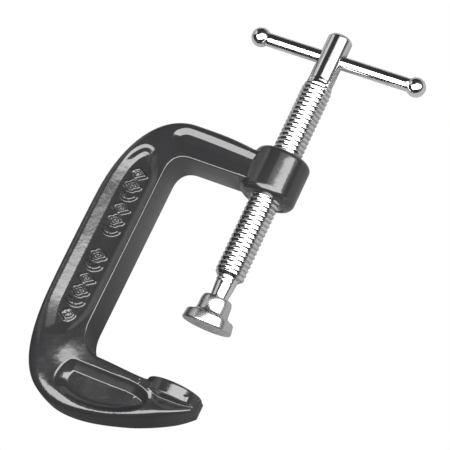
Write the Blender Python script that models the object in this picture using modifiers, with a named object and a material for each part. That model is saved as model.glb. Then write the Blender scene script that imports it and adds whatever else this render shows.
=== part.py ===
"""A small C-clamp: a cast C-shaped frame, a threaded spindle with a sliding bar, and a swivel pad.

The clamp lies on its side. +X is the way the throat opens, +Y runs along the spindle's axis
towards its handle, and +Z is square to the frame's flat faces. The origin is the middle of the
anvil's clamping face. All sizes are in metres.
"""

import math

import bmesh
import bpy
from mathutils import Matrix, Vector

MM = 0.001
GAP = 0.3 * MM

# Frame: a C-shaped casting with sunk panels on both faces
FRAME_HALF_THICKNESS = 7.3 * MM
SPINE_INNER_X = -33.0 * MM
SPINE_OUTER_X = -51.7 * MM
ARM_BOTTOM_Y = 70.6 * MM
ARM_TOP_Y = 82.8 * MM
LOWER_ARM_TOP_Y = -1.6 * MM
LOWER_ARM_BOTTOM_Y = -19.6 * MM
TIP_X = 9.6 * MM
FRAME_EDGE_RADIUS = 1.6 * MM
PANEL_DEPTH = 2.8 * MM

# Boss and anvil: two short drums on the spindle's axis, at the ends of the C
BOSS_RADIUS = 9.4 * MM
BOSS_BOTTOM_Y = 67.8 * MM
BOSS_TOP_Y = 84.0 * MM
ANVIL_RADIUS = 9.2 * MM
ANVIL_DEPTH = 4.6 * MM
BOSS_TOP_ROUNDING = 1.8 * MM
BOSS_BOTTOM_ROUNDING = 2.6 * MM

# Spindle: a rolled thread with a plain, cross-drilled head
THREAD_RADIUS = 5.0 * MM
THREAD_BOTTOM_Y = 39.4 * MM
THREAD_TOP_Y = 112.0 * MM
HEAD_RADIUS = 4.25 * MM
HEAD_TOP_Y = 130.4 * MM

# Ball tip: a neck and a ball at the working end, pressed into the spindle
BALL_RADIUS = 4.0 * MM
BALL_Y = 28.6 * MM
NECK_RADIUS = 3.0 * MM
SPIGOT_RADIUS = 2.2 * MM
SPIGOT_LENGTH = 5.0 * MM

# Swivel pad: a disc with a collar that is crimped round the ball, hanging a little to one side
PAD_RADIUS = 8.4 * MM
PAD_FACE_DROP = 6.4 * MM
PAD_DISC_HEIGHT = 3.6 * MM
COLLAR_RADIUS = 5.0 * MM
COLLAR_TOP = 3.7 * MM
PAD_DROOP = math.radians(6.0)

# Sliding bar with a ball pressed on each end
BAR_Y = 122.0 * MM
BAR_RADIUS = 2.3 * MM
BAR_LEFT_X = -25.6 * MM
BAR_RIGHT_X = 30.1 * MM
END_BALL_RADIUS = 3.3 * MM
END_SPIGOT_RADIUS = 1.3 * MM

SEGMENTS = 40

ENAMEL = ("grey_enamel", (0.055, 0.057, 0.060), 0.22, 0.35)
PLATED_STEEL = ("plated_steel", (0.78, 0.78, 0.79), 0.20, 1.0)
TIP_STEEL = ("bright_tip_steel", (0.70, 0.70, 0.71), 0.24, 1.0)
PAD_STEEL = ("pad_steel", (0.74, 0.74, 0.75), 0.22, 1.0)
BAR_STEEL = ("bar_steel", (0.80, 0.80, 0.81), 0.14, 1.0)


def clear_scene():
    for obj in list(bpy.data.objects):
        bpy.data.objects.remove(obj, do_unlink=True)


def new_collection(name):
    collection = bpy.data.collections.new(name)
    bpy.context.scene.collection.children.link(collection)
    return collection


def finish_material(finish):
    name, color, roughness, metallic = finish
    material = bpy.data.materials.get(name) or bpy.data.materials.new(name)
    material.use_nodes = True
    shader = material.node_tree.nodes["Principled BSDF"]
    shader.inputs["Base Color"].default_value = (*color, 1.0)
    shader.inputs["Roughness"].default_value = roughness
    shader.inputs["Metallic"].default_value = metallic
    return material


def move_to(obj, collection):
    for old in list(obj.users_collection):
        old.objects.unlink(obj)
    collection.objects.link(obj)


def as_cutter(obj):
    move_to(obj, cutters)
    obj.hide_render = True
    obj.display_type = "WIRE"
    return obj


def smooth_sharp(obj, degrees=35):
    obj.data.shade_smooth()
    obj.data.set_sharp_from_angle(angle=math.radians(degrees))


def turned(name, profile, hollow=(), steps=SEGMENTS):
    """A solid turned about +Y from (radius, height) points that run from the top down its outer side.

    A hollow's points run from its bottom, on the axis, up to the mouth, where the profile starts.
    """
    points = [(radius, height, 0.0) for radius, height in [*profile, *hollow]]
    edges = [(i, i + 1) for i in range(len(points) - 1)]
    if hollow:
        edges.remove((len(profile) - 1, len(profile)))
        edges.append((len(points) - 1, 0))
    mesh = bpy.data.meshes.new(name)
    mesh.from_pydata(points, edges, [])
    obj = bpy.data.objects.new(name, mesh)
    parts.objects.link(obj)
    screw = obj.modifiers.new("turn", "SCREW")
    screw.axis = "Y"
    screw.steps = steps
    screw.render_steps = steps
    screw.use_merge_vertices = True
    screw.merge_threshold = 0.00001
    return obj


def arc_points(radius, start, end, steps):
    """Points on a circle about the origin of a turned profile, by their angle from +Y."""
    angles = [start + (end - start) * i / steps for i in range(steps + 1)]
    return [(abs(radius * math.sin(a)), radius * math.cos(a)) for a in angles]


def rounded(radius, height, turn_radius, up, steps=4):
    """Points round a turned piece's outer edge: a quarter circle, at its top or its bottom end."""
    side = 1 if up else -1
    middle = height - side * turn_radius
    angles = [math.pi / 2 * i / steps for i in range(steps + 1)]
    if not up:
        angles.reverse()
    inner = radius - turn_radius
    return [(inner + turn_radius * math.sin(a), middle + side * turn_radius * math.cos(a)) for a in angles]


def cylinder(name, radius, length, centre, axis, steps=SEGMENTS):
    bpy.ops.mesh.primitive_cylinder_add(vertices=steps, radius=radius, depth=length)
    obj = bpy.context.object
    obj.name = name
    turn = Vector((0, 0, 1)).rotation_difference(Vector(axis)).to_matrix().to_4x4()
    obj.data.transform(Matrix.Translation(centre) @ turn)
    return obj


def boolean(obj, other, operation):
    modifier = obj.modifiers.new(other.name, "BOOLEAN")
    modifier.operation = operation
    modifier.solver = "EXACT"
    modifier.object = other


def flat_outline(name, knots, half_thickness, steps=5):
    """A mesh slab from a closed 2D Bezier outline, given as (point, left handle, right handle) knots."""
    curve = bpy.data.curves.new(name, "CURVE")
    curve.dimensions = "2D"
    curve.fill_mode = "BOTH"
    curve.extrude = half_thickness
    curve.resolution_u = steps
    spline = curve.splines.new("BEZIER")
    spline.bezier_points.add(len(knots) - 1)
    spline.use_cyclic_u = True
    for bezier, (point, left, right) in zip(spline.bezier_points, knots):
        bezier.handle_left_type = "FREE"
        bezier.handle_right_type = "FREE"
        bezier.co = (*point, 0.0)
        bezier.handle_left = (*left, 0.0)
        bezier.handle_right = (*right, 0.0)
    return mesh_from_curve(name, curve)


def mesh_from_curve(name, curve):
    source = bpy.data.objects.new(name + "_curve", curve)
    bpy.context.scene.collection.objects.link(source)
    graph = bpy.context.evaluated_depsgraph_get()
    mesh = bpy.data.meshes.new_from_object(source.evaluated_get(graph))
    bpy.data.objects.remove(source, do_unlink=True)
    work = bmesh.new()
    work.from_mesh(mesh)
    bmesh.ops.remove_doubles(work, verts=work.verts, dist=0.00001)
    bmesh.ops.dissolve_limit(work, angle_limit=0.001, verts=work.verts, edges=work.edges)
    bmesh.ops.recalc_face_normals(work, faces=work.faces)
    work.to_mesh(mesh)
    work.free()
    obj = bpy.data.objects.new(name, mesh)
    parts.objects.link(obj)
    return obj


def knot(x, y, left, right):
    """A Bezier knot in millimetres, with its handles given as offsets from the knot."""
    return (
        (x * MM, y * MM),
        ((x + left[0]) * MM, (y + left[1]) * MM),
        ((x + right[0]) * MM, (y + right[1]) * MM),
    )


def corner(x, y):
    return knot(x, y, (0, 0), (0, 0))


def c_outline():
    """The C as it is seen from the side: round the outside from the boss, then back along the inside."""
    top, bottom = ARM_TOP_Y / MM, ARM_BOTTOM_Y / MM
    outer, inner = SPINE_OUTER_X / MM, SPINE_INNER_X / MM
    low, floor = LOWER_ARM_BOTTOM_Y / MM, LOWER_ARM_TOP_Y / MM
    tip = TIP_X / MM
    return [
        corner(0, top - 0.8),
        knot(-30, top, (8, 0), (-13, 0)),
        knot(outer + 0.2, 50, (0.3, 19), (-0.2, -8)),
        knot(outer + 0.4, 13, (-0.3, 9), (0.8, -23)),
        knot(-29, low, (-14, -0.4), (11, 0)),
        knot(tip, -4.8, (-6.4, -4.9), (0.5, 0.4)),
        knot(tip - 1.0, -2.8, (0.6, -0.6), (0, 0)),
        corner(-7.5, floor - 0.3),
        knot(-25, floor + 0.6, (6, -0.2), (-4.5, 0.4)),
        knot(inner, 9, (0, -6.5), (0, 5)),
        knot(inner, 63.5, (0, -5), (0, 4.6)),
        knot(-26.5, bottom, (-4.2, 0), (3, 0)),
        corner(0, bottom),
    ]


def spine_panel():
    """The long sunk panel of the spine, round at its top end."""
    return [
        knot(-41.0, 69.3, (3.2, 0), (-3.2, 0)),
        knot(-45.3, 62.0, (0.2, 5), (0, -8)),
        knot(-45.2, 8.0, (0, 5), (0.2, -3.6)),
        knot(-42.2, 2.6, (-1.6, 1.0), (1.2, -0.6)),
        knot(-37.2, 7.4, (0, -2.8), (0, 5)),
        knot(-37.0, 64.0, (0, -6), (0, 3.4)),
    ]


def lower_panel():
    """The sunk panel of the lower arm, which follows the arm's curved underside."""
    return [
        knot(-33.6, -5.0, (5, -0.1), (-2.0, 0)),
        knot(-36.2, -9.0, (-0.2, 2.2), (0.4, -3.4)),
        knot(-28.0, -16.4, (-4.4, 0), (7, 0)),
        knot(-6.6, -11.4, (-4, -1.9), (1.6, 0.8)),
        knot(-7.6, -5.6, (1.9, -0.4), (-7, 0.2)),
    ]


def make_frame():
    frame = flat_outline("frame", c_outline(), FRAME_HALF_THICKNESS)
    bevel = frame.modifiers.new("cast_edges", "BEVEL")
    bevel.width = FRAME_EDGE_RADIUS
    bevel.segments = 2
    bevel.limit_method = "ANGLE"
    bevel.angle_limit = math.radians(50)
    boss = turned(
        "boss",
        [(0, BOSS_TOP_Y)]
        + rounded(BOSS_RADIUS, BOSS_TOP_Y, BOSS_TOP_ROUNDING, True)
        + rounded(BOSS_RADIUS, BOSS_BOTTOM_Y, BOSS_BOTTOM_ROUNDING, False)
        + [(0, BOSS_BOTTOM_Y)],
    )
    anvil = turned(
        "anvil",
        [(0, 0)]
        + rounded(ANVIL_RADIUS, 0, 0.8 * MM, True)
        + [(ANVIL_RADIUS, -ANVIL_DEPTH + 1.0 * MM), (ANVIL_RADIUS - 2.0 * MM, -ANVIL_DEPTH)]
        + [(0, -ANVIL_DEPTH)],
    )
    middle_y = (BOSS_BOTTOM_Y + BOSS_TOP_Y) / 2
    bore = cylinder("bore", THREAD_RADIUS + GAP, 30 * MM, (0, middle_y, 0), (0, 1, 0), 32)
    boolean(frame, as_cutter(boss), "UNION")
    boolean(frame, as_cutter(anvil), "UNION")
    for name, outline in (("spine_panel", spine_panel()), ("lower_panel", lower_panel())):
        for side, sign in (("front", 1), ("back", -1)):
            cutter = flat_outline(f"{name}_{side}", outline, PANEL_DEPTH, 4)
            cutter.location.z = sign * FRAME_HALF_THICKNESS
            boolean(frame, as_cutter(cutter), "DIFFERENCE")
    boolean(frame, as_cutter(bore), "DIFFERENCE")
    smooth_sharp(frame)
    frame.data.materials.append(finish_material(ENAMEL))
    return frame


def make_spindle():
    """The thread is a plain cylinder of its major diameter; its lower end is bored for the ball tip."""
    chamfer = 1.2 * MM
    bore_radius = SPIGOT_RADIUS + GAP
    bore_top = THREAD_BOTTOM_Y + SPIGOT_LENGTH + GAP
    spindle = turned(
        "spindle",
        [(0, HEAD_TOP_Y), (HEAD_RADIUS - 0.9 * MM, HEAD_TOP_Y), (HEAD_RADIUS, HEAD_TOP_Y - 0.9 * MM)]
        + [(HEAD_RADIUS, THREAD_TOP_Y), (THREAD_RADIUS, THREAD_TOP_Y - chamfer)]
        + [(THREAD_RADIUS, THREAD_BOTTOM_Y + chamfer), (THREAD_RADIUS - chamfer, THREAD_BOTTOM_Y)]
        + [(bore_radius, THREAD_BOTTOM_Y), (bore_radius, bore_top), (0, bore_top)],
    )
    cross_hole = cylinder("cross_hole", BAR_RADIUS + GAP, 12 * MM, (0, BAR_Y, 0), (1, 0, 0), 24)
    boolean(spindle, as_cutter(cross_hole), "DIFFERENCE")
    smooth_sharp(spindle)
    spindle.data.materials.append(finish_material(PLATED_STEEL))
    return spindle


def make_ball_tip():
    neck_top = THREAD_BOTTOM_Y - GAP
    flare = NECK_RADIUS + 0.55 * MM
    neck_angle = math.asin((NECK_RADIUS - 0.2 * MM) / BALL_RADIUS)
    ball = arc_points(BALL_RADIUS, neck_angle, math.pi, 9)
    tip = turned(
        "ball_tip",
        [(0, neck_top + SPIGOT_LENGTH), (SPIGOT_RADIUS, neck_top + SPIGOT_LENGTH)]
        + [(SPIGOT_RADIUS, neck_top), (flare, neck_top), (NECK_RADIUS, BALL_Y + 4.6 * MM)]
        + [(radius, BALL_Y + height) for radius, height in ball],
        steps=28,
    )
    smooth_sharp(tip)
    tip.data.materials.append(finish_material(TIP_STEEL))
    return tip


def make_pad():
    """Turned about the ball's centre, with a round socket that holds the ball."""
    socket_radius = BALL_RADIUS + GAP
    mouth = 3.6 * MM
    bottom = -PAD_FACE_DROP
    disc_top = bottom + PAD_DISC_HEIGHT
    pad = turned(
        "swivel_pad",
        [(mouth + 0.2 * MM, COLLAR_TOP), (COLLAR_RADIUS - 0.6 * MM, COLLAR_TOP)]
        + [(COLLAR_RADIUS, COLLAR_TOP - 1.1 * MM), (COLLAR_RADIUS + 0.3 * MM, disc_top + 1.6 * MM)]
        + [(COLLAR_RADIUS + 1.2 * MM, disc_top + 0.4 * MM), (PAD_RADIUS - 0.8 * MM, disc_top)]
        + [(PAD_RADIUS, disc_top - 0.7 * MM), (PAD_RADIUS, bottom + 0.5 * MM)]
        + [(PAD_RADIUS - 0.5 * MM, bottom), (0, bottom)],
        hollow=arc_points(socket_radius, math.pi, math.asin(mouth / socket_radius), 7),
    )
    pad.location = (0, BALL_Y, 0)
    pad.rotation_euler = (PAD_DROOP, 0, 0)
    smooth_sharp(pad)
    pad.data.materials.append(finish_material(PAD_STEEL))
    return pad


def make_bar():
    """A rod along X, stepped down at both ends to fit inside its end balls."""
    flat = math.sqrt(END_BALL_RADIUS**2 - BAR_RADIUS**2)
    left = BAR_LEFT_X + flat + GAP
    right = BAR_RIGHT_X - flat - GAP
    bar = turned(
        "sliding_bar",
        [(0, BAR_RIGHT_X), (END_SPIGOT_RADIUS, BAR_RIGHT_X), (END_SPIGOT_RADIUS, right)]
        + [(BAR_RADIUS, right), (BAR_RADIUS, left)]
        + [(END_SPIGOT_RADIUS, left), (END_SPIGOT_RADIUS, BAR_LEFT_X), (0, BAR_LEFT_X)],
        steps=28,
    )
    bar.location = (0, BAR_Y, 0)
    bar.rotation_euler = (0, 0, -math.pi / 2)
    smooth_sharp(bar)
    bar.data.materials.append(finish_material(BAR_STEEL))
    return bar


def make_end_ball(name, x, side):
    """A ball with a flat seat and a blind hole that face the bar."""
    flat = math.sqrt(END_BALL_RADIUS**2 - BAR_RADIUS**2)
    hole = END_SPIGOT_RADIUS + GAP
    seat_angle = math.asin(BAR_RADIUS / END_BALL_RADIUS)
    ball = turned(
        name,
        [(hole, flat)] + arc_points(END_BALL_RADIUS, seat_angle, math.pi, 12),
        hollow=[(0, -GAP), (hole, -GAP)],
        steps=24,
    )
    ball.location = (x, BAR_Y, 0)
    ball.rotation_euler = (0, 0, side * math.pi / 2)
    smooth_sharp(ball)
    ball.data.materials.append(finish_material(BAR_STEEL))
    return ball


clear_scene()
parts = new_collection("c_clamp")
cutters = new_collection("cutters")
make_frame()
make_spindle()
make_ball_tip()
make_pad()
make_bar()
make_end_ball("end_ball_left", BAR_LEFT_X, -1)
make_end_ball("end_ball_right", BAR_RIGHT_X, 1)
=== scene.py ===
"""The looks of a small C-clamp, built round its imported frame.

The clamp lies on its side: +X is the way its throat opens, +Y runs along the spindle towards the
bar, and +Z is square to the flat faces. Shapes are worked out in millimetres and scaled to metres
when they become meshes.
"""

import math

import bmesh
import bpy
import numpy as np
from mathutils import Matrix, Vector


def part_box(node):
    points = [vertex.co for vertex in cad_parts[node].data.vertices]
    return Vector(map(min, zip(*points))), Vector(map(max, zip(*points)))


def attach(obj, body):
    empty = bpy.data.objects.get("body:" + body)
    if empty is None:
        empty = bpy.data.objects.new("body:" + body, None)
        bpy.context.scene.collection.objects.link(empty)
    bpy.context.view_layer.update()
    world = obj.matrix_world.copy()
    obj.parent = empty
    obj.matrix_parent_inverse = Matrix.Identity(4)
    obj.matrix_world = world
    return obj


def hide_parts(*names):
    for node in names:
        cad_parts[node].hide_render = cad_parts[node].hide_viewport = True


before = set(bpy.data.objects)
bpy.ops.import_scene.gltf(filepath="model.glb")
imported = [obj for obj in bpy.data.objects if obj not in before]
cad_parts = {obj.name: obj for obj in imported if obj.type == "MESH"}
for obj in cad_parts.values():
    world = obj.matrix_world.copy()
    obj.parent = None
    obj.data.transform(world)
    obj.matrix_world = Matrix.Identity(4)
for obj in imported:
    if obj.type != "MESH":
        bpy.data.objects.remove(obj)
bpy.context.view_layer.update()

MM = 0.001


def box_mm(node):
    """The lowest and highest corners of a node of the frame, in millimetres."""
    low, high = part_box(node)
    return np.array(low) / MM, np.array(high) / MM


# ---------------------------------------------------------------------------------------------
# Cast frame. One malleable iron casting: a C with a sunk panel on each face of its spine and of
# its lower arm, a drum-shaped boss for the spindle and a round anvil. It is dipped in glossy dark
# grey enamel, which is why every edge and every raised figure is soft.

FRAME_LOW, FRAME_HIGH = box_mm("frame")
BOSS_RADIUS = FRAME_HIGH[2]
BOSS_TOP = FRAME_HIGH[1]
BOSS_LENGTH = 16.2
BOSS_BOTTOM = BOSS_TOP - BOSS_LENGTH
BOSS_TOP_ROUNDING = 1.8
BOSS_BOTTOM_ROUNDING = 2.6
ANVIL_RADIUS = BOSS_RADIUS - 0.2
ANVIL_DEPTH = 4.6
ANVIL_ROUNDING = 0.8
ANVIL_BACK_ROUNDING = 0.35
SCOOP_DEPTH = 2.9
SCOOP_LENGTH = 5.4
BOSS_FILLET = 1.3
ANVIL_FILLET = 0.35
SPINE_WALL = 3.75
DIP_MIDDLE = (-32.5, -7.5)
DIP_DEPTH = 0.6
DIP_REACH = math.sqrt(30)
TIP_RADIUS = 9.9
CREST = 7.3
SPINE_OUTER = FRAME_LOW[0]
SPINE_WIDTH = 18.7
SPINE_INNER = SPINE_OUTER + SPINE_WIDTH
ARM_TOP = BOSS_TOP - 1.2
ARM_UNDERSIDE = BOSS_BOTTOM + 2.8
SPINE_FLOOR = 6.3
ARM_FLOOR = 6.5
LOWER_FLOOR = 4.0
RELIEF_HEIGHT = 1.05
INNER_DRAFT = 0.5
OUTER_DRAFT = -0.15

# The C's run, from the boss round to the tip, in stretches: the boss, the upper arm, the upper
# corner, the spine, the lower corner, the lower arm, and the anvil with the tip.
STRETCH_ROWS = (40, 44, 84, 200, 76, 50, 50)
WALL_COLUMNS = 5


def bezier(start, out, back, end, rows):
    """Points on a cubic Bezier run. Its handles are offsets from its two ends."""
    p0, p3 = np.array(start, float), np.array(end, float)
    p1, p2 = p0 + out, p3 + back
    t = np.linspace(0, 1, rows, endpoint=False)[:, None]
    return (1 - t) ** 3 * p0 + 3 * (1 - t) ** 2 * t * p1 + 3 * (1 - t) * t**2 * p2 + t**3 * p3


def rounding(distance, radius):
    """Height of a quarter-circle edge: 0 at the edge, rising to its radius that far in."""
    return radius * np.sqrt(1 - np.clip(1 - distance / radius, 0, 1) ** 2)


def soft_max(a, b, width):
    """The larger of two heights, with their meeting filleted over a width."""
    share = np.clip(0.5 + 0.5 * (a - b) / width, 0, 1)
    return a * share + b * (1 - share) + width * share * (1 - share)


def smooth(t):
    """0 to 1 with level ends: 3t^2 - 2t^3."""
    t = np.clip(t, 0, 1)
    return t * t * (3 - 2 * t)


def swell(centre, radius, rows, end=False):
    """Stations across a drum, crowded towards its sides: centre - radius * cos(angle)."""
    return centre - radius * np.cos(np.linspace(0, math.pi, rows, endpoint=end))


def side_points(x, y):
    return np.stack([x, y], 1)


boss_x = -swell(0, BOSS_RADIUS, STRETCH_ROWS[0])
boss_upper = BOSS_TOP - BOSS_TOP_ROUNDING + rounding(BOSS_RADIUS - abs(boss_x), BOSS_TOP_ROUNDING)
boss_lower = rounding(BOSS_RADIUS - abs(boss_x), BOSS_BOTTOM_ROUNDING)
boss_lower = BOSS_BOTTOM + BOSS_BOTTOM_ROUNDING - boss_lower
TIP_CENTRE = (TIP_RADIUS - ANVIL_RADIUS) / 2
tip_x = swell(TIP_CENTRE, (TIP_RADIUS + ANVIL_RADIUS) / 2, STRETCH_ROWS[6], end=True)
anvil_top = rounding(ANVIL_RADIUS - abs(tip_x), ANVIL_ROUNDING) - ANVIL_ROUNDING
anvil_top = anvil_top - 0.7 * np.clip(tip_x - ANVIL_RADIUS, 0, None)

OUTER_ARM = ((-BOSS_RADIUS, ARM_TOP - 1.2), (-8, 1.2), (8, 0), (-30, ARM_TOP))
OUTER_CORNER = ((-30, ARM_TOP), (-13, 0), (0.3, 19), (SPINE_OUTER + 0.2, 50))
OUTER_SPINE = ((SPINE_OUTER + 0.2, 50), (-0.2, -8), (-0.3, 9), (SPINE_OUTER + 0.4, 13))
OUTER_LOWER_CORNER = ((SPINE_OUTER + 0.4, 13), (0.8, -23), (-14, -0.4), (-29, -19.6))
OUTER_LOWER_ARM = ((-29, -19.6), (6.6, 0), (-5.5, -1.7), (-9.8, -15.6))
OUTER_TIP = ((-9.8, -15.6), (7.4, 2.6), (-4.6, -3.6), (TIP_RADIUS, -5.1))
INNER_ARM = ((-BOSS_RADIUS, ARM_UNDERSIDE), (-5, 0), (5, 0), (-26.5, ARM_UNDERSIDE))
INNER_CORNER = ((-26.5, ARM_UNDERSIDE), (-4.2, 0), (0, 4.6), (SPINE_INNER, 63.5))
INNER_SPINE = ((SPINE_INNER, 63.5), (0, -18), (0, 18), (SPINE_INNER, 9))
INNER_LOWER_CORNER = ((SPINE_INNER, 9), (0, -6.5), (-4.5, 0.4), (-25, -1.0))
INNER_LOWER_ARM = ((-25, -1.0), (6, -0.2), (-5, 0.1), (-ANVIL_RADIUS, -1.9))

outer_runs = [OUTER_ARM, OUTER_CORNER, OUTER_SPINE, OUTER_LOWER_CORNER, OUTER_LOWER_ARM]
inner_runs = [INNER_ARM, INNER_CORNER, INNER_SPINE, INNER_LOWER_CORNER, INNER_LOWER_ARM]
outer_mid = [bezier(*run, rows) for run, rows in zip(outer_runs, STRETCH_ROWS[1:6])]
inner_mid = [bezier(*run, rows) for run, rows in zip(inner_runs, STRETCH_ROWS[1:6])]
tip_curve = bezier(*OUTER_TIP, 200)
tip_lower = np.interp(tip_x, tip_curve[:, 0], tip_curve[:, 1])
outer = np.concatenate([side_points(boss_x, boss_upper), *outer_mid, side_points(tip_x, tip_lower)])
inner = np.concatenate([side_points(boss_x, boss_lower), *inner_mid, side_points(tip_x, anvil_top)])
station = np.concatenate([k + np.arange(n) / n for k, n in enumerate(STRETCH_ROWS)])[:, None]

# The arm's own two edges run on straight through the boss and the anvil.
outer_edge = np.concatenate([[(20, ARM_TOP - 1.6)], *outer_mid, tip_curve, [(16, -1.0)]])
inner_edge = np.concatenate([[(20, ARM_UNDERSIDE)], *inner_mid, [(20, -2.1)]])


def edge_distance(points, line):
    """Distance from each point to a line of many short straight steps, taken step by step."""
    start, step = line[:-1], np.diff(line, axis=0)
    length2 = (step**2).sum(1)
    flat = points.reshape(-1, 2)
    best = np.full(len(flat), 1e9)
    for begin in range(0, len(flat), 4000):
        part = flat[begin : begin + 4000, None, :] - start[None]
        along = np.clip((part * step).sum(2) / length2, 0, 1)
        gap = part - along[..., None] * step
        best[begin : begin + 4000] = np.sqrt((gap**2).sum(2)).min(1)
    return best.reshape(points.shape[:-1])


def closed_run(knots, rows=14):
    """A closed line through Bezier knots, each given as (x, y, handle in, handle out)."""
    runs = []
    for this, after in zip(knots, knots[1:] + knots[:1]):
        runs.append(bezier(this[:2], this[3], after[2], after[:2], rows))
    return np.concatenate([*runs, runs[0][:1]])


def depth_inside(points, line):
    """Distance to a closed line, positive inside it and negative outside."""
    x, y = points[..., 0], points[..., 1]
    crossings = np.zeros(x.shape, int)
    for (ax, ay), (bx, by) in zip(line[:-1], line[1:]):
        spans = (ay > y) != (by > y)
        crossings += spans & (x < ax + (bx - ax) * (y - ay) / ((by - ay) or 1e-9))
    return np.where(crossings % 2 == 1, 1, -1) * edge_distance(points, line)


SPINE_PANEL = closed_run(
    [
        (-41.6, 70.6, (2.4, 0), (-2.2, 0)),
        (-46.6, 66.0, (0.9, 1.9), (-1.2, -3.0)),
        (-48.9, 51.0, (0, 7), (-0.1, -10)),
        (-49.0, 14.0, (0, 8), (0, -6)),
        (-44.4, 0.2, (-2.6, 0.2), (3.4, -0.2)),
        (-36.4, 5.0, (-1.6, -2.8), (1.8, 3.2)),
        (SPINE_INNER - 0.7, 15, (0, -4), (0, 12)),
        (SPINE_INNER - 0.7, 58, (0, -8), (0, 4.5)),
        (-37.0, 67.2, (1.0, -2.6), (-0.9, 2.2)),
    ]
)
ARM_PANEL = closed_run(
    [
        (-31.0, 80.4, (-1.9, 0), (6, 0.1)),
        (-9.0, 79.6, (-6, 0.3), (3, -0.2)),
        (-3.0, 77.0, (0, 2), (0, -3)),
        (-9.0, ARM_UNDERSIDE + 0.6, (3, 0), (-6, 0)),
        (-28.5, ARM_UNDERSIDE + 0.8, (5, 0), (-3.5, 0)),
        (-35.6, 76.6, (0.2, -2.4), (-0.1, 1.8)),
    ]
)
LOWER_PANEL = closed_run(
    [
        (-31.4, -4.3, (-1.6, 0), (3, -0.1)),
        (-14.0, -4.3, (-5, -0.1), (4, 0.1)),
        (-4.2, -8.0, (-0.2, 2.9), (0.2, -2.4)),
        (-9.0, -13.9, (2.4, 1.3), (-3, -1.6)),
        (-21.5, -17.3, (4.5, 0.3), (-4, -0.2)),
        (-31.5, -15.9, (3, -0.9), (-2.4, 0.8)),
        (-35.6, -10.6, (-0.2, -2.6), (0.2, 2.2)),
        (-34.2, -6.0, (-0.7, -1.2), (0.6, 1.0)),
    ]
)


# How wide and how deep the outer edge's rounding is, and the inner edge's radius, by station.
OUTER_WIDTHS = (
    (0, 2.3), (2, 2.4), (3, 2.8), (4, 2.8), (4.2, 5.0), (4.5, 6.4), (5, 4.4), (6, 1.6), (7, 1.4),
)
OUTER_DROPS = ((0, 2.3), (2, 2.4), (3, 2.8), (4, 2.8), (5, 2.2), (6, 1.6), (7, 1.4))
INNER_ROUNDS = ((0, 0.8), (2.5, 0.5), (3, 0.4), (4, 0.4), (5, 0.9), (7, 0.9))


def by_station(*keys):
    """A value that changes smoothly along the C, from (station, value) keys."""
    at, value = np.array(keys, float).T
    index = np.clip(np.searchsorted(at, station, side="right") - 1, 0, len(at) - 2)
    share = smooth((station - at[index]) / (at[index + 1] - at[index]))
    return value[index] * (1 - share) + value[index + 1] * share


ORNAMENT_START = 6.2
CELL_HEIGHT = 4.3
CELLS = 13
BLANK_CELL = 6
PANEL_MIDDLE = -40.7


def ornament(x, y):
    """Height of the raised ornament on the spine, from 0 to 1.

    Cells down the panel hold in turn a lozenge with a pip, a pair of leaves, and a four-lobed
    flower with a pip. A stroke is 1 near a figure's line and rolls off smoothly to 0.
    """
    cell = np.floor((y - ORNAMENT_START) / CELL_HEIGHT)
    px = x - PANEL_MIDDLE
    py = y - ORNAMENT_START - (cell + 0.5) * CELL_HEIGHT
    pip = np.hypot(px * 0.8, py) - 0.12
    lozenge = abs(abs(px) / 2.8 + abs(py) / 1.9 - 0.88) * 1.5
    leaf_x, leaf_y = abs(px) - 1.45, py - 0.1
    leaf_length, leaf_breadth = leaf_x * 0.85 + leaf_y * 0.53, leaf_y * 0.85 - leaf_x * 0.53
    leaf = np.hypot(leaf_length * 0.55, leaf_breadth * 1.25) - 0.55
    lobes = 1.6 + 0.3 * np.cos(4 * np.arctan2(py, px / 1.3))
    flower = abs(np.hypot(px / 1.3, py) - lobes)
    with_pip = np.minimum(np.where(cell % 3 == 0, lozenge, flower), pip)
    figure = np.where(cell % 3 == 1, leaf, with_pip)
    shown = (cell >= 0) & (cell < CELLS) & (cell != BLANK_CELL) & (abs(px) < 3.6)
    return np.where(shown, smooth(1 - (figure - 0.16) / 0.6), 0)


def eased(inside, width, linear, power):
    """How far a panel has sunk, 0 to 1: a flat bevel where linear is 1, else 1 - (1 - t)^power."""
    t = np.clip(inside / width, 0, 1)
    return t * linear + (1 - (1 - t) ** power) * (1 - linear)


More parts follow.
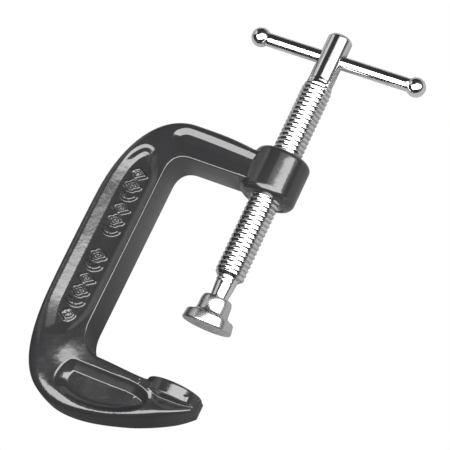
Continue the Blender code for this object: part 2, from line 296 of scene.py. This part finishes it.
def casting_height(points):
    """Half-thickness of the casting over each point (x, y).

    A level face falls in quarter ellipses to its two edges. Three panels sink it to their floors,
    the ornament stands on the spine's floor, and the boss and the anvil are drums,
    sqrt(radius^2 - x^2), whose meeting with the arms is filleted.
    """
    x, y = points[..., 0], points[..., 1]
    from_outer, from_inner = edge_distance(points, outer_edge), edge_distance(points, inner_edge)
    outside = (from_outer + from_inner > 19.5) & (station < 2) | (y > 82) & (station < 1)
    outer_width, outer_drop = by_station(*OUTER_WIDTHS), by_station(*OUTER_DROPS)
    inner_round = by_station(*INNER_ROUNDS)
    level = CREST - outer_drop * (1 - rounding(from_outer, outer_width) / outer_width)
    level = level - (inner_round - rounding(from_inner, inner_round))
    from_dip = np.hypot(x - DIP_MIDDLE[0], y - DIP_MIDDLE[1])
    level = level - DIP_DEPTH * np.exp(-((from_dip / DIP_REACH) ** 2)) * (station > 4)

    # The spine's panel: a flat bevel on its outer side, a curved flank on its inner side, and two
    # soft steps at its upper end.
    inside = depth_inside(points, SPINE_PANEL)
    flank = smooth((x + 41.5) / 3)
    end = smooth((y - 62) / 4) * (1 - flank)
    steps = 0.4 * smooth(inside / 1.3) + 0.6 * smooth((inside - 2.6) / 1.3)
    sunk = eased(inside, SPINE_WALL, 1 - flank, 1.7) * (1 - end) + steps * end
    floor = SPINE_FLOOR + RELIEF_HEIGHT * ornament(x, y) * smooth((inside - 3.0) / 0.8)
    level = level + (np.minimum(floor, level) - level) * sunk

    # The upper arm's panel: a narrow flat bevel along its top that widens and curves lower down.
    inside = depth_inside(points, ARM_PANEL)
    sunk = eased(inside, 1.9 + 4.6 * smooth((77.5 - y) / 4), smooth((y - 75) / 2.5), 1.7)
    level = level + (np.minimum(ARM_FLOOR, level) - level) * sunk

    # The lower arm's panel: a plain steep wall along its top, curved walls on its other sides.
    inside = depth_inside(points, LOWER_PANEL)
    upper = smooth((y + 9.5) / 2) * smooth((x + 35) / 2.5)
    wall = 2.2 + 1.4 * smooth((-9 - y) / 4) + 1.1 * smooth((-30 - x) / 3) * (1 - upper) + 0.7 * upper
    level = level + (LOWER_FLOOR - level) * eased(inside, wall, upper, 1.6)

    # A scoop behind the anvil, and a fall-off past the arm's own edges, under the two drums.
    behind = np.clip((-ANVIL_DEPTH - y) / SCOOP_LENGTH, 0, 1)
    scoop = SCOOP_DEPTH * (1 - behind) ** 1.5 * smooth((x + 5.2) / 3.5) * (y < -ANVIL_DEPTH + 0.3)
    level = level - scoop * (station > 5.5)
    beyond = (station < 1) & ((y > ARM_TOP - 1.6) | (y < ARM_UNDERSIDE)) | (station >= 6) & (y > -2.1)
    beyond = beyond | outside & (station < 1)
    level = np.where(beyond, level - 4 * np.minimum(from_outer, from_inner) - 1.0, level)

    # The boss's drum, filleted into the arm.
    from_end = np.minimum(rounding(BOSS_TOP - y, BOSS_TOP_ROUNDING) - BOSS_TOP_ROUNDING,
                          rounding(y - BOSS_BOTTOM, BOSS_BOTTOM_ROUNDING) - BOSS_BOTTOM_ROUNDING)
    drum = np.sqrt(np.clip((BOSS_RADIUS + from_end) ** 2 - x**2, 0, None))
    boss_part = (station < 1.25) & (x > -BOSS_RADIUS - 1)
    level = np.where(boss_part, soft_max(np.where(x > 0, -1.0, level), drum, BOSS_FILLET), level)
    level = np.where(boss_part & (x > 0), drum, level)

    # The anvil's drum, which ends in a steep back face, and the tip's rounded end.
    anvil_edge = np.minimum(rounding(-y, ANVIL_ROUNDING) - ANVIL_ROUNDING,
                            rounding(y + ANVIL_DEPTH, ANVIL_BACK_ROUNDING) - ANVIL_BACK_ROUNDING)
    anvil = np.sqrt(np.clip((ANVIL_RADIUS + anvil_edge) ** 2 - x**2, 0, None))
    anvil = np.where(y < -ANVIL_DEPTH, anvil - 5 * (-ANVIL_DEPTH - y), anvil)
    end = np.sqrt(np.clip(TIP_RADIUS**2 - x**2, 0, None))
    at_tip = station > 5.75
    level = np.where((station >= 6) & (x > 0), np.minimum(level, end), level)
    level = np.where(at_tip & (x > -ANVIL_RADIUS - 0.6), soft_max(level, anvil, ANVIL_FILLET), level)
    return np.maximum(level, 0)


def skin(name, rings, material, caps=(), attribute=None):
    """A closed surface from a grid of points (ring, place on the ring, xyz) in millimetres.

    Each ring is closed on itself. Neighbouring rings are joined by four-sided faces, the ends
    named in caps (0 and -1) are fanned to their middle, and doubled points are merged.
    """
    count, around = rings.shape[:2]
    points = rings.reshape(-1, 3) * MM
    ring = np.arange(count - 1)[:, None] * around
    here, after = np.arange(around)[None], (np.arange(around)[None] + 1) % around
    faces = np.stack([ring + here, ring + after, ring + around + after, ring + around + here], -1)
    faces = faces.reshape(-1, 4).tolist()
    for cap in caps:
        first = 0 if cap == 0 else (count - 1) * around
        middle = len(points)
        points = np.concatenate([points, [points[first : first + around].mean(0)]])
        faces += [(first + i, first + (i + 1) % around, middle) for i in range(around)]
    mesh = bpy.data.meshes.new(name)
    mesh.from_pydata(points, [], faces)
    # One attribute: crest wear on the casting, painted shade in the spindle's thread roots.
    if attribute is not None:
        values = np.zeros(len(points), np.float32)
        values[: count * around] = attribute.ravel()
        mesh.attributes.new("wear_and_shade", "FLOAT", "POINT").data.foreach_set("value", values)
    work = bmesh.new()
    work.from_mesh(mesh)
    bmesh.ops.remove_doubles(work, verts=work.verts, dist=2e-7)
    bmesh.ops.dissolve_degenerate(work, edges=work.edges, dist=1e-8)
    bmesh.ops.recalc_face_normals(work, faces=work.faces)
    work.to_mesh(mesh)
    work.free()
    mesh.shade_smooth()
    mesh.materials.append(material)
    obj = bpy.data.objects.new(name, mesh)
    bpy.context.scene.collection.objects.link(obj)
    return obj


def node_maker(tree):
    """A function that adds a node to a tree, with its sockets set to values or linked to sockets."""

    def node(kind, inputs=(), **settings):
        made = tree.nodes.new(kind)
        for key, value in settings.items():
            setattr(made, key, value)
        for socket, value in dict(inputs).items():
            if isinstance(value, bpy.types.NodeSocket):
                tree.links.new(value, made.inputs[socket])
            else:
                made.inputs[socket].default_value = value
        return made

    return node


def shader(name, color, roughness, metallic):
    """A new material, its Principled shader and a function that adds nodes to it."""
    material = bpy.data.materials.new(name)
    material.use_nodes = True
    principled = material.node_tree.nodes["Principled BSDF"]
    principled.inputs["Base Color"].default_value = (*color, 1)
    principled.inputs["Roughness"].default_value = roughness
    principled.inputs["Metallic"].default_value = metallic
    return material, principled, node_maker(material.node_tree)


def link(socket, target):
    socket.id_data.links.new(socket, target)


def noise(node, place, scale, detail=3.0, rough=0.5):
    """Fractal noise on object coordinates, in lumps of 1/scale metres."""
    settings = {"Vector": place, "Scale": scale, "Detail": detail, "Roughness": rough}
    return node("ShaderNodeTexNoise", settings)


def remap(node, value, low, high, to_low, to_high):
    """A value carried in a straight line from low..high to to_low..to_high, and held at the ends."""
    made = node("ShaderNodeMapRange", {"Value": value, "From Min": low, "From Max": high,
                                       "To Min": to_low, "To Max": to_high})
    return made.outputs["Result"]


def mix_color(node, share, first, second):
    """The first colour where share is 0 and the second where it is 1."""
    ends = [end if isinstance(end, bpy.types.NodeSocket) else (*end, 1) for end in (first, second)]
    return node("ShaderNodeMix", {0: share, 6: ends[0], 7: ends[1]}, data_type="RGBA").outputs[2]


def bump(node, principled, *layers):
    """Stacks bumps, each (height, depth in metres, strength), and feeds the shader's normal."""
    normal = None
    for height, depth, strength in layers:
        made = node("ShaderNodeBump", {"Height": height, "Distance": depth, "Strength": strength})
        if normal:
            link(normal, made.inputs["Normal"])
        normal = made.outputs["Normal"]
    link(normal, principled.inputs["Normal"])


def grey_enamel():
    """Glossy dark grey enamel that has flowed over a sand casting.

    The film follows the casting's slow lumps and has a fine orange peel. Along the crests it is
    thinner and paler, with a few rubbed specks, and dust dulls it in patches.
    """
    material, principled, node = shader("grey_enamel", (0.013, 0.013, 0.0135), 0.15, 0.0)
    place = node("ShaderNodeTexCoord").outputs["Object"]
    lumps = noise(node, place, 230, 2.0).outputs["Fac"]
    peel = noise(node, place, 1300, 2.0).outputs["Fac"]
    dust = noise(node, place, 90, 5.0, 0.6).outputs["Fac"]
    speck = noise(node, place, 800, 4.0, 0.7).outputs["Fac"]
    worn = node("ShaderNodeAttribute", attribute_name="wear_and_shade").outputs["Fac"]
    specks = remap(node, speck, 0.52, 0.68, 0.1, 1)
    rubbed = node("ShaderNodeMath", {0: worn, 1: specks}, operation="MULTIPLY")
    paint = mix_color(node, dust, (0.010, 0.010, 0.0105), (0.015, 0.015, 0.0158))
    link(mix_color(node, rubbed.outputs[0], paint, (0.07, 0.07, 0.073)), principled.inputs["Base Color"])
    link(remap(node, dust, 0.35, 0.7, 0.11, 0.19), principled.inputs["Roughness"])
    principled.inputs["Coat Weight"].default_value = 0.25
    principled.inputs["Coat Roughness"].default_value = 0.05
    bump(node, principled, (lumps, 0.0009, 0.10), (peel, 0.00016, 0.10))
    return material


def outline_normals(line):
    """Unit vectors in the plane, square to a line of points and to its left."""
    step = np.gradient(line, axis=0)
    return side_points(-step[:, 1], step[:, 0]) / np.hypot(*step.T)[:, None]


def casting_rings():
    """The casting's sections: out over the face, down the inner wall, back, and up the outer wall.

    The walls have a little draft each way from the parting line, so they swell by
    draft * (1 - (z / height)^2).
    """
    turn = np.linspace(0, math.pi / 2, 9, endpoint=False)
    across = np.concatenate([
        0.15 * (1 - np.cos(turn)),
        np.linspace(0.15, 0.84, 58, endpoint=False),
        np.linspace(0.84, 0.95, 6, endpoint=False),
        1 - 0.05 * (1 - np.cos(turn[::-1])),
    ])
    points = outer[:, None] * (1 - across[None, :, None]) + inner[:, None] * across[None, :, None]
    height = casting_height(points)
    front = np.concatenate([points, height[..., None]], -1)
    back = front[:, ::-1] * (1, 1, -1)
    down = np.linspace(1, -1, WALL_COLUMNS + 2)[1:-1, None]
    plain = smooth((station - 1) / 0.3) * smooth((6 - station) / 0.4)
    walls = []
    for edge, side, draft in ((front[:, -1:], inner, INNER_DRAFT), (front[:, :1], outer, OUTER_DRAFT)):
        swelling = draft * plain[:, None] * (1 - down**2)[None] * outline_normals(side)[:, None]
        flat = edge[..., :2] + swelling
        walls.append(np.concatenate([flat, edge[..., 2:] * down[None]], -1))
    inner_wall, outer_wall = walls[0], walls[1][:, ::-1]
    wear_and_shade = np.zeros(front.shape[:2])
    slope = np.gradient(height, axis=1)
    wear_and_shade[:, 1:-1] = np.clip(-np.diff(slope, axis=1)[:, 1:] * 6 - 0.35, 0, 1)
    zero = np.zeros((len(front), WALL_COLUMNS))
    rings = np.concatenate([front, inner_wall, back, outer_wall], 1)
    return rings, np.concatenate([wear_and_shade, zero, wear_and_shade[:, ::-1], zero], 1)


def round_cutter(name, profile, steps):
    """A hidden cutter turned about +Y through (radius, height) points, closed at both ends."""
    angle = np.linspace(0, 2 * math.pi, steps, endpoint=False)
    radius, height = np.array(profile, float).T
    rings = np.stack(np.broadcast_arrays(radius[:, None] * np.sin(angle), height[:, None],
                                         radius[:, None] * np.cos(angle)), -1)
    cutter = skin(name, rings, enamel, caps=(0, -1))
    cutter.hide_render = True
    cutter.hide_viewport = True
    return cutter


def cut(obj, cutter):
    """Cuts once and for all, and removes the cutter."""
    modifier = obj.modifiers.new("cut", "BOOLEAN")
    modifier.operation = "DIFFERENCE"
    modifier.object = cutter
    graph = bpy.context.evaluated_depsgraph_get()
    mesh = bpy.data.meshes.new_from_object(obj.evaluated_get(graph))
    obj.modifiers.remove(modifier)
    old, obj.data = obj.data, mesh
    mesh.name = obj.name
    bpy.data.meshes.remove(old)
    bpy.data.objects.remove(cutter, do_unlink=True)


TAPPED_RADIUS = 6.35
enamel = grey_enamel()
rings, wear_and_shade = casting_rings()
casting = skin("casting", rings, enamel, attribute=wear_and_shade)
bore_profile = [(TAPPED_RADIUS, BOSS_BOTTOM - 1), (TAPPED_RADIUS, BOSS_TOP + 1)]
cut(casting, round_cutter("bore", bore_profile, 64))
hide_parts("frame")
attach(casting, "frame")


# ---------------------------------------------------------------------------------------------
# Tapped hole. The boss is drilled, countersunk and tapped after it is enamelled, so the hole is
# bare, bright steel: a helical thread that matches the spindle's, with a chamfer at each end.

PITCH = 1.65
THREAD_CLEARANCE = 0.12
SPINDLE_LOW, SPINDLE_HIGH = box_mm("spindle")
THREAD_RADIUS = SPINDLE_HIGH[0]
THREAD_DEPTH = 0.42
SLEEVE_OVERLAP = 0.02
SLEEVE_INSET = 0.03
THREAD_STEPS = 72


def ridge(turns):
    """Height of a rolled thread from its root (0) to its rounded crest (1): (1 - cos) / 2."""
    return 0.5 - 0.5 * np.cos(2 * math.pi * turns)


def steel(name, color, rough, scratch_axis, scratches=0.35, painted_root_shade=False):
    """Bright plated steel: turned or polished scratches and faint stains.

    Fine scratches are noise stretched round the piece, so they run across scratch_axis. With
    that flag set, a per-vertex attribute darkens the plating towards dark grey: painted shade.
    """
    material, principled, node = shader(name, color, rough[0], 1.0)
    place = node("ShaderNodeTexCoord").outputs["Object"]
    scale = [500 if axis == scratch_axis else 60 for axis in range(3)]
    stretched = node("ShaderNodeMapping", {"Vector": place, "Scale": scale}).outputs["Vector"]
    lines = noise(node, stretched, 12, 3.0, 0.6).outputs["Fac"]
    stain = noise(node, place, 160, 4.0, 0.55).outputs["Fac"]
    pits = noise(node, place, 2200, 2.0).outputs["Fac"]
    duller = tuple(0.80 * c for c in color)
    plate = mix_color(node, remap(node, stain, 0.45, 0.75, 0, 1), color, duller)
    if painted_root_shade:
        # Painted shade: the plating is darkened where the attribute marks the thread's roots.
        shade_in_roots = node("ShaderNodeAttribute", attribute_name="wear_and_shade").outputs["Fac"]
        plate = mix_color(node, shade_in_roots, plate, (0.42, 0.42, 0.43))
    link(plate, principled.inputs["Base Color"])
    link(remap(node, stain, 0.3, 0.75, *rough), principled.inputs["Roughness"])
    bump(node, principled, (lines, 0.00003, scratches), (pits, 0.00002, 0.25))
    return material


def tapped_rings():
    """From the outer skin down over one chamfer, along the thread and out over the other."""
    angle = np.linspace(0, 2 * math.pi, THREAD_STEPS, endpoint=False)[None]
    inner_y = np.linspace(BOSS_BOTTOM, BOSS_TOP, 220)[:, None]
    turns = (inner_y - SPINDLE_LOW[1]) / PITCH - angle / (2 * math.pi)
    ends = np.minimum(inner_y - BOSS_BOTTOM, BOSS_TOP - inner_y)
    threaded = THREAD_RADIUS + THREAD_CLEARANCE - THREAD_DEPTH * (1 - ridge(turns))
    radius = np.maximum(threaded, TAPPED_RADIUS - SLEEVE_INSET - ends)
    outside = np.full((3, 1), TAPPED_RADIUS + SLEEVE_OVERLAP) + 0 * angle
    middle = (BOSS_TOP + BOSS_BOTTOM) / 2
    outside_y = np.array([BOSS_TOP - SLEEVE_INSET, middle, BOSS_BOTTOM + SLEEVE_INSET])[:, None]
    y = np.concatenate([inner_y, outside_y, inner_y[:1]]) + 0 * angle
    radius = np.concatenate([radius, outside, radius[:1]])
    return np.stack([radius * np.sin(angle), y, radius * np.cos(angle)], -1)


cut_steel = steel("cut_steel", (0.72, 0.72, 0.73), (0.16, 0.32), 1)
tapped_hole = skin("tapped_hole", tapped_rings(), cut_steel)
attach(tapped_hole, "frame")


# ---------------------------------------------------------------------------------------------
# Spindle. One bright plated steel rod: a coarse right-handed thread rolled along it, a chamfer at
# its lower end, and a plain head, a little under the thread's diameter, cross-drilled for the bar.

HEAD_RADIUS = 4.25
HEAD_CHAMFER = 0.9
THREAD_TOP = 111.4
RUN_OUT = 2.3
RUN_OUT_END = THREAD_TOP + 2.5
END_CHAMFER = 1.1
CROSS_HOLE_CLEARANCE = 0.15
CROSS_HOLE_CHAMFER = 0.45
BAR_LOW, BAR_HIGH = box_mm("sliding_bar")
BAR_AXIS_Y = (BAR_LOW[1] + BAR_HIGH[1]) / 2
BAR_RADIUS = BAR_HIGH[2]


def spindle_rings():
    """Radius by height and angle: the thread's helix between its run-outs, then the plain head."""
    bottom, top = SPINDLE_LOW[1], SPINDLE_HIGH[1]
    chamfer_start = top - HEAD_CHAMFER
    thread_y = np.linspace(bottom, RUN_OUT_END, 1000)
    head_y = RUN_OUT_END + (chamfer_start - RUN_OUT_END) * np.linspace(0, 1, 40)[1:]
    chamfer_y = chamfer_start + HEAD_CHAMFER * np.array([0.06, 0.5, 0.94, 1.0])
    y = np.concatenate([thread_y, head_y, chamfer_y])[:, None]
    angle = np.linspace(0, 2 * math.pi, THREAD_STEPS, endpoint=False)[None]
    turns = (y - bottom) / PITCH - angle / (2 * math.pi)
    fade = smooth((THREAD_TOP + RUN_OUT - y) / (2 * RUN_OUT))
    root = THREAD_RADIUS - THREAD_DEPTH
    threaded = root + THREAD_DEPTH * ridge(turns)
    radius = HEAD_RADIUS * (1 - fade) + threaded * fade
    radius = np.minimum(radius, THREAD_RADIUS - END_CHAMFER + (y - bottom))
    radius = np.where(y > chamfer_start, HEAD_RADIUS - 0.85 * (y - chamfer_start), radius)
    y = y + 0 * angle
    rings = np.stack([radius * np.sin(angle), y, radius * np.cos(angle)], -1)
    inset = rings[-1:] * (0.93, 1, 0.93) + (0, 0.03, 0)
    # Painted shade in the thread's roots, fading out past the run-out.
    painted_root_shade = fade * smooth(1.0 - 2.0 * ridge(turns))
    return np.concatenate([rings, inset]), np.concatenate([painted_root_shade, 0 * painted_root_shade[-1:]])


plated_steel = steel("plated_steel", (0.84, 0.84, 0.85), (0.07, 0.15), 1, painted_root_shade=True)
rings, painted_root_shade = spindle_rings()
spindle = skin("spindle_screw", rings, plated_steel, caps=(0, -1), attribute=painted_root_shade)
cross_hole_radius = BAR_RADIUS + CROSS_HOLE_CLEARANCE
cross_hole_half = [
    (cross_hole_radius + 0.9, HEAD_RADIUS + 0.6),
    (cross_hole_radius, HEAD_RADIUS - CROSS_HOLE_CHAMFER),
]
drill_profile = [(radius, -height) for radius, height in cross_hole_half] + cross_hole_half[::-1]
drill = round_cutter("cross_drill", drill_profile, 48)
drill.data.transform(Matrix.Translation((0, BAR_AXIS_Y * MM, 0)) @ Matrix.Rotation(-math.pi / 2, 4, "Z"))
cut(spindle, drill)
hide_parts("spindle")
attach(spindle, "spindle")


# ---------------------------------------------------------------------------------------------
# Ball tip. The spindle's lower end is turned down to a neck, with two faint run-out grooves from
# the thread, and ends in the ball that the pad is crimped round.

BALL_RADIUS = 4.0
BALL_Y = box_mm("ball_tip")[0][1] + BALL_RADIUS
NECK_RADIUS = 3.0
# A turned profile starts this far from the axis, and an arc stops at this angle, for the cap.
POLE_RADIUS = 0.05
ARC_END = math.pi - 0.02


def turned(profile, steps, rounding_steps=5):
    """Rings of a piece turned about +Y through (radius, height, corner radius) points.

    Each corner is replaced by an arc of that radius, drawn as a quadratic run between the two
    points where the arc leaves the straight sides.
    """
    corners = np.array(profile, float)
    line = [corners[0, :2]]
    for before, this, after in zip(corners[:-2], corners[1:-1], corners[2:]):
        back, ahead = before[:2] - this[:2], after[:2] - this[:2]
        reach = min(this[2], 0.48 * np.hypot(*back), 0.48 * np.hypot(*ahead))
        start = this[:2] + back / (np.hypot(*back) or 1) * reach
        end = this[:2] + ahead / (np.hypot(*ahead) or 1) * reach
        t = np.linspace(0, 1, rounding_steps if reach > 0 else 1)[:, None]
        line.extend((1 - t) ** 2 * start + 2 * t * (1 - t) * this[:2] + t**2 * end)
    line.append(corners[-1, :2])
    radius, height = np.array(line).T
    angle = np.linspace(0, 2 * math.pi, steps, endpoint=False)[None]
    radius, height = radius[:, None], height[:, None] + 0 * angle
    return np.stack([radius * np.sin(angle), height, radius * np.cos(angle)], -1)


def arc(radius, start, end, steps, centre=0.0):
    """Profile points on a circle about the axis, by angle from +Y, with no rounding of their own."""
    angle = np.linspace(start, end, steps)
    return [(radius * math.sin(a), centre + radius * math.cos(a), 0) for a in angle]


neck_angle = math.asin((NECK_RADIUS - 0.2) / BALL_RADIUS)
neck_top = SPINDLE_LOW[1]
tip_profile = [
    (POLE_RADIUS, neck_top + 0.2, 0),
    (NECK_RADIUS + 0.6, neck_top + 0.2, 0),
    (NECK_RADIUS + 0.55, neck_top - 0.5, 0.2),
    (NECK_RADIUS + 0.28, neck_top - 0.75, 0.15),
    (NECK_RADIUS + 0.46, neck_top - 1.15, 0.15),
    (NECK_RADIUS + 0.42, neck_top - 1.75, 0.15),
    (NECK_RADIUS + 0.18, neck_top - 1.95, 0.15),
    (NECK_RADIUS + 0.32, neck_top - 2.35, 0.15),
    (NECK_RADIUS, BALL_Y + 4.9, 0.8),
    *arc(BALL_RADIUS, neck_angle, ARC_END, 20, BALL_Y),
]
ball_tip = skin("ball_tip_turned", turned(tip_profile, 64), plated_steel, caps=(0, -1))
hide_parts("ball_tip")
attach(ball_tip, "tip")


# ---------------------------------------------------------------------------------------------
# Swivel pad. A bright pressed-steel disc with a collar that is crimped round the spindle's ball,
# loose enough for the pad to swing and turn. Its edges are rolled and its face is turned flat.

PAD_RADIUS = 8.4
PAD_FACE = -6.4
DISC_TOP = PAD_FACE + 3.6
PAD_DROOP = math.radians(6)
SOCKET_RADIUS = BALL_RADIUS + 0.18
SOCKET_MOUTH = 3.55

pad_profile = [
    (POLE_RADIUS, PAD_FACE, 0),
    (3.2, PAD_FACE, 0.3),
    (3.5, PAD_FACE + 0.12, 0.1),
    (3.8, PAD_FACE, 0.3),
    (PAD_RADIUS, PAD_FACE, 0.75),
    (PAD_RADIUS - 0.6, DISC_TOP, 0.7),
    (6.75, DISC_TOP + 0.1, 0.4),
    (6.25, DISC_TOP + 0.55, 0.3),
    (5.45, DISC_TOP + 0.75, 0.7),
    (5.2, DISC_TOP + 2.2, 0.6),
    (5.15, DISC_TOP + 4.6, 0.7),
    (4.75, DISC_TOP + 6.1, 0.8),
    (3.75, DISC_TOP + 6.5, 0.25),
    (3.45, DISC_TOP + 6.1, 0.2),
    *arc(SOCKET_RADIUS, math.asin(SOCKET_MOUTH / SOCKET_RADIUS), ARC_END, 20),
]
pad_steel = steel("pad_steel", (0.64, 0.64, 0.65), (0.18, 0.32), 1, 0.5)
pad = skin("swivel_pad_pressed", turned(pad_profile, 96), pad_steel, caps=(0, -1))
pad.data.transform(Matrix.Translation((0, BALL_Y * MM, 0)) @ Matrix.Rotation(PAD_DROOP, 4, "X"))
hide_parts("swivel_pad")
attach(pad, "pad")


# ---------------------------------------------------------------------------------------------
# Sliding bar with its end balls. A polished plated rod that slides through the spindle's head,
# with a ball pressed on each end to keep it in.

LEFT_LOW, LEFT_HIGH = box_mm("end_ball_left")
END_BALL_RADIUS = LEFT_HIGH[2]
ROD_CHAMFER = 0.25
ONTO_X = Matrix.Rotation(-math.pi / 2, 4, "Z")

left_x = LEFT_LOW[0] + END_BALL_RADIUS
right_x = box_mm("end_ball_right")[1][0] - END_BALL_RADIUS
seat = math.asin(BAR_RADIUS * 0.97 / END_BALL_RADIUS)
seat_x, seat_radius = END_BALL_RADIUS * math.cos(seat), END_BALL_RADIUS * math.sin(seat)
bar_steel = steel("bar_steel", (0.86, 0.86, 0.87), (0.05, 0.12), 0, 0.3)


def along_bar(name, profile, x, flip, *nodes):
    """A turned piece laid along X at a place on the bar, riding on the handle."""
    obj = skin(name, turned(profile, 64), bar_steel, caps=(0, -1))
    place = Matrix.Translation((x * MM, BAR_AXIS_Y * MM, 0))
    obj.data.transform(place @ Matrix.Rotation(flip, 4, "Z") @ ONTO_X)
    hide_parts(*nodes)
    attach(obj, "handle")


reach = seat_x - ROD_CHAMFER
bar_length = right_x - left_x - 2 * reach
rod_profile = [
    (POLE_RADIUS, 0, 0),
    (BAR_RADIUS - ROD_CHAMFER, 0, 0),
    *[(BAR_RADIUS, height, 0) for height in np.linspace(ROD_CHAMFER, bar_length - ROD_CHAMFER, 60)],
    (BAR_RADIUS - ROD_CHAMFER, bar_length, 0),
    (POLE_RADIUS, bar_length, 0),
]
ball_profile = [
    (POLE_RADIUS, seat_x - 0.15, 0),
    (seat_radius - 0.05, seat_x - 0.15, 0.1),
    *arc(END_BALL_RADIUS, seat + 0.03, ARC_END, 36),
]
along_bar("sliding_rod", rod_profile, left_x + reach, 0, "sliding_bar")
along_bar("end_ball_left_pressed", ball_profile, left_x, 0, "end_ball_left")
along_bar("end_ball_right_pressed", ball_profile, right_x, math.pi, "end_ball_right")


# ---------------------------------------------------------------------------------------------
# Studio: a pale floor that the clamp lies on, a wide soft light overhead with a bright core, a
# white card on the left, and a camera that looks down on the clamp from the throat's side.
# The lights and the card are set out square to the camera's roll.

CAMERA_AZIMUTH, CAMERA_ELEVATION, CAMERA_ROLL = 18.8, -17.0, 25.5314
CAMERA_DISTANCE = 0.60895
CAMERA_TARGET = Vector((-0.0086346, 0.0558, 0))
SENSOR, LENS = 36, 152
ROLL = math.radians(CAMERA_ROLL)
ACROSS = Vector((math.cos(ROLL), math.sin(ROLL), 0))
ALONG = Vector((-math.sin(ROLL), math.cos(ROLL), 0))
UP = Vector((0, 0, 1))


def direction(azimuth, elevation):
    """A unit vector turned from +Z by azimuth towards +X and by elevation towards +Y, in degrees."""
    a, e = math.radians(azimuth), math.radians(elevation)
    return Vector((math.cos(e) * math.sin(a), math.sin(e), math.cos(e) * math.cos(a)))


def soft_light(name, middle, width_way, height_way, width, height, radiance):
    """A rectangular light centred on middle, in metres from the clamp as (across, along, up).

    It shines along width_way x height_way reversed, and its power is radiance * pi * area.
    """
    data = bpy.data.lights.new(name, "AREA")
    data.shape = "RECTANGLE"
    data.size, data.size_y = width, height
    data.energy = radiance * math.pi * width * height
    lamp = bpy.data.objects.new(name, data)
    bpy.context.scene.collection.objects.link(lamp)
    place = CAMERA_TARGET + ACROSS * middle[0] + ALONG * middle[1] + UP * middle[2]
    turn = Matrix((width_way, height_way, width_way.cross(height_way))).transposed().to_4x4()
    lamp.matrix_world = Matrix.Translation(place) @ turn


def pale_floor():
    """Matt, and seen as an evenly lit white sheet. In reflections its colour goes from grey on the
    bar's side to dark on the side of the lower arm and dims far off: painted shade for the clamp's
    shadow."""
    material = bpy.data.materials.new("pale_floor")
    material.use_nodes = True
    material.node_tree.nodes.clear()
    node = node_maker(material.node_tree)
    place = node("ShaderNodeTexCoord").outputs["Object"]
    rise = node("ShaderNodeVectorMath", {0: place, 1: (0.5, 1, 0)}, operation="DOT_PRODUCT")
    far = node("ShaderNodeVectorMath", {0: place}, operation="LENGTH")
    # Painted shade: darker towards the lower arm and further from the clamp, seen only in reflections.
    grey = remap(node, rise.outputs["Value"], -0.018, 0.035, 0.03, 0.14)
    fade = remap(node, far.outputs["Value"], 0.2, 0.6, 1.0, 0.3)
    shade = node("ShaderNodeMath", {0: grey, 1: fade}, operation="MULTIPLY").outputs[0]
    matt = node("ShaderNodeBsdfDiffuse", {"Color": shade}).outputs[0]
    lit = node("ShaderNodeEmission", {"Color": (1, 1, 1, 1)}).outputs[0]
    seen = node("ShaderNodeLightPath").outputs["Is Camera Ray"]
    mix = node("ShaderNodeMixShader", {0: seen, 1: matt, 2: lit}).outputs[0]
    node("ShaderNodeOutputMaterial", {"Surface": mix})
    return material


FLOOR_SIZE = 4.0
FLOOR_GAP = 0.0001
floor_level = min(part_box(node)[0].z for node in ("frame", "swivel_pad")) - FLOOR_GAP
floor_mesh = bpy.data.meshes.new("floor")
corners = [
    (x * FLOOR_SIZE, y * FLOOR_SIZE, floor_level) for x, y in ((-1, -1), (1, -1), (1, 1), (-1, 1))
]
floor_mesh.from_pydata(corners, [], [(0, 1, 2, 3)])
floor_mesh.materials.append(pale_floor())
floor = bpy.data.objects.new("floor", floor_mesh)
bpy.context.scene.collection.objects.link(floor)

soft_light("soft_light_core", (0.41, -0.44, 1.0), ACROSS, ALONG, 2.82, 1.24, 9.0)
soft_light("soft_light_wide", (1.55, -0.26, 1.03), ACROSS, ALONG, 2.9, 1.52, 1.2)
soft_light("left_card", (-1.25, 1.6, 0.85), UP, ALONG, 1.4, 1.9, 0.5)
soft_light("left_card_top", (-1.24, 1.5, 1.0), UP, ALONG, 0.3, 1.4, 0.5)


def studio_world():
    """A dim room, a little lighter on the right."""
    world = bpy.data.worlds.new("studio")
    world.use_nodes = True
    node = node_maker(world.node_tree)
    ray = node("ShaderNodeTexCoord").outputs["Generated"]
    right = node("ShaderNodeVectorMath", {0: ray, 1: ACROSS}, operation="DOT_PRODUCT").outputs["Value"]
    background = world.node_tree.nodes["Background"]
    link(remap(node, right, 0.3, 0.95, 0.04, 0.11), background.inputs["Color"])
    return world


bpy.context.scene.world = studio_world()

camera_data = bpy.data.cameras.new("camera")
camera_data.sensor_width, camera_data.lens = SENSOR, LENS
camera_data.clip_start, camera_data.clip_end = 0.01, 10
camera = bpy.data.objects.new("camera", camera_data)
bpy.context.scene.collection.objects.link(camera)
backward = direction(CAMERA_AZIMUTH, CAMERA_ELEVATION)
level_right = Vector((0, 1, 0)).cross(backward).normalized()
upright = Matrix((level_right, backward.cross(level_right), backward)).transposed()
camera.matrix_world = (
    Matrix.Translation(CAMERA_TARGET + backward * CAMERA_DISTANCE)
    @ (upright @ Matrix.Rotation(math.radians(CAMERA_ROLL), 3, "Z")).to_4x4()
)
bpy.context.scene.camera = camera
bpy.context.scene.view_settings.view_transform = "Standard"
